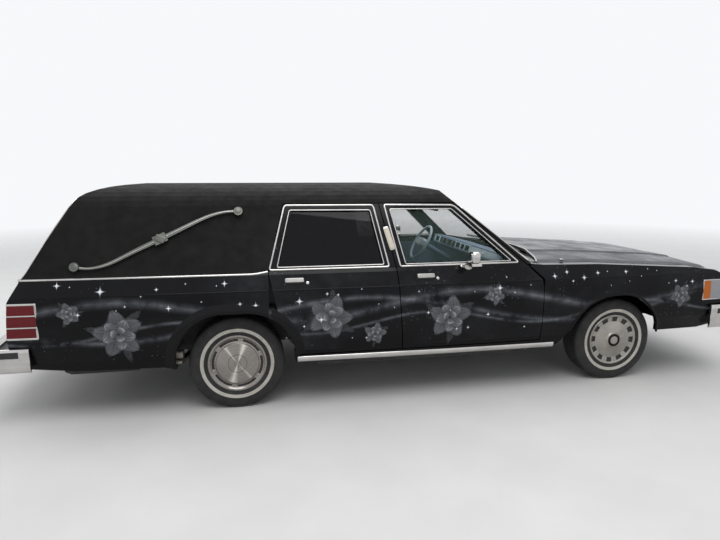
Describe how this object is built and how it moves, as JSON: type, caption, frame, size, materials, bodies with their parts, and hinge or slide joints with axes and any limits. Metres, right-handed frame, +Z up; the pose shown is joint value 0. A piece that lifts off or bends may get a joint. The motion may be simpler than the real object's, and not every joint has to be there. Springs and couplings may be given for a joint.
{
  "type": "hearse",
  "caption": "Full-size hearse on a station wagon base with separate doors, hood, loading door, perimeter frame, steered front wheels and a casket deck in the load space.",
  "frame": {"origin": "on the floor under the middle of the car's length and width", "axes": "+X towards the front bumper, +Y to the car's left, +Z up"},
  "size_m": [5.5628, 2.21, 1.548],
  "materials": {
    "gloss_black_paint": "gloss",
    "roof_vinyl": "textured matte",
    "black_plastic": "matte",
    "clear_glass": "clear",
    "dark_glass": "tinted",
    "chrome_trim": "polished",
    "red_lens": "gloss",
    "amber_lens": "gloss",
    "lamp_lens": "clear",
    "frame_steel": "satin",
    "floor_steel": "satin",
    "engine_iron": "rough",
    "radiator_alloy": "satin",
    "exhaust_steel": "satin",
    "blue_plastic": "satin",
    "seat_leather": "satin",
    "deck_wood": "varnished",
    "tyre_rubber": "matte",
    "wheel_steel": "satin"
  },
  "bodies": {
    "root": {"body_sides": "gloss_black_paint", "casket_deck": "deck_wood", "chassis_frame": "frame_steel", "corner_lamps": "amber_lens", "cowl_panel": "black_plastic", "dashboard": "blue_plastic", "engine": "engine_iron", "exhaust": "exhaust_steel", "floor_pan": "floor_steel", "front_bumper": "chrome_trim", "front_fenders": "gloss_black_paint", "front_seat": "seat_leather", "front_suspension": "frame_steel", "fuel_tank": "floor_steel", "grille": "chrome_trim", "headlamps": "lamp_lens", "landau_bars": "chrome_trim", "nose_panel": "gloss_black_paint", "radiator": "radiator_alloy", "rear_axle": "frame_steel", "rear_bumper": "chrome_trim", "roof_shell": "roof_vinyl", "tail_lamps": "red_lens", "windshield": "clear_glass"},
    "hood": {"hood": "gloss_black_paint"},
    "door_front_left": {"door_front_left": "gloss_black_paint", "glass_front_left": "clear_glass", "mirror_left": "chrome_trim"},
    "door_front_right": {"door_front_right": "gloss_black_paint", "glass_front_right": "clear_glass", "mirror_right": "chrome_trim"},
    "door_rear_left": {"door_rear_left": "gloss_black_paint", "glass_rear_left": "dark_glass"},
    "door_rear_right": {"door_rear_right": "gloss_black_paint", "glass_rear_right": "dark_glass"},
    "rear_door": {"rear_door": "gloss_black_paint", "rear_glass": "dark_glass"},
    "steering_wheel": {"steering_wheel": "blue_plastic"},
    "knuckle_left": {"knuckle_left": "frame_steel"},
    "knuckle_right": {"knuckle_right": "frame_steel"},
    "wheel_front_left": {"tyre_front_left": "tyre_rubber", "wheel_front_left": "wheel_steel"},
    "wheel_front_right": {"tyre_front_right": "tyre_rubber", "wheel_front_right": "wheel_steel"},
    "wheel_rear_left": {"tyre_rear_left": "tyre_rubber", "wheel_rear_left": "wheel_steel"},
    "wheel_rear_right": {"tyre_rear_right": "tyre_rubber", "wheel_rear_right": "wheel_steel"}
  },
  "joints": [
    {"name": "hood_hinge", "type": "hinge", "parent": "root", "child": "hood", "pos_m": [1.04, 0, 0.998], "axis": [0, -1, 0], "range_deg": [0, 50]},
    {"name": "front_left_door_hinge", "type": "hinge", "parent": "root", "child": "door_front_left", "pos_m": [1.02675, 1, 0.65], "axis": [0, 0, -1], "range_deg": [0, 65]},
    {"name": "front_right_door_hinge", "type": "hinge", "parent": "root", "child": "door_front_right", "pos_m": [1.02675, -1, 0.65], "axis": [0, 0, 1], "range_deg": [0, 65]},
    {"name": "rear_left_door_hinge", "type": "hinge", "parent": "root", "child": "door_rear_left", "pos_m": [-0.04325, 1.008, 0.65], "axis": [0, 0, -1], "range_deg": [0, 60]},
    {"name": "rear_right_door_hinge", "type": "hinge", "parent": "root", "child": "door_rear_right", "pos_m": [-0.04325, -1.008, 0.65], "axis": [0, 0, 1], "range_deg": [0, 60]},
    {"name": "rear_door_hinge", "type": "hinge", "parent": "root", "child": "rear_door", "pos_m": [-2.177, 0, 1.467], "axis": [0, 1, 0], "range_deg": [0, 70]},
    {"name": "left_steering", "type": "hinge", "parent": "root", "child": "knuckle_left", "pos_m": [1.708, 0.715, 0.325], "axis": [0, 0, 1], "range_deg": [-31, 31]},
    {"name": "right_steering", "type": "hinge", "parent": "root", "child": "knuckle_right", "pos_m": [1.708, -0.715, 0.325], "axis": [0, 0, 1], "range_deg": [-31, 31]},
    {"name": "steering_wheel_turn", "type": "hinge", "parent": "root", "child": "steering_wheel", "pos_m": [0.507, 0.38, 0.979], "axis": [-0.866, 0, 0.5], "range_deg": [-470, 470]},
    {"name": "front_left_wheel_roll", "type": "hinge", "parent": "knuckle_left", "child": "wheel_front_left", "pos_m": [1.708, 0.79, 0.325], "axis": [0, 1, 0], "continuous": true},
    {"name": "front_right_wheel_roll", "type": "hinge", "parent": "knuckle_right", "child": "wheel_front_right", "pos_m": [1.708, -0.79, 0.325], "axis": [0, 1, 0], "continuous": true},
    {"name": "rear_left_wheel_roll", "type": "hinge", "parent": "root", "child": "wheel_rear_left", "pos_m": [-1.195, 0.79, 0.325], "axis": [0, 1, 0], "continuous": true},
    {"name": "rear_right_wheel_roll", "type": "hinge", "parent": "root", "child": "wheel_rear_right", "pos_m": [-1.195, -0.79, 0.325], "axis": [0, 1, 0], "continuous": true}
  ],
  "couplings": [
    {"joint": "right_steering", "follows": "left_steering", "ratio": 1},
    {"joint": "steering_wheel_turn", "follows": "left_steering", "ratio": 15}
  ]
}
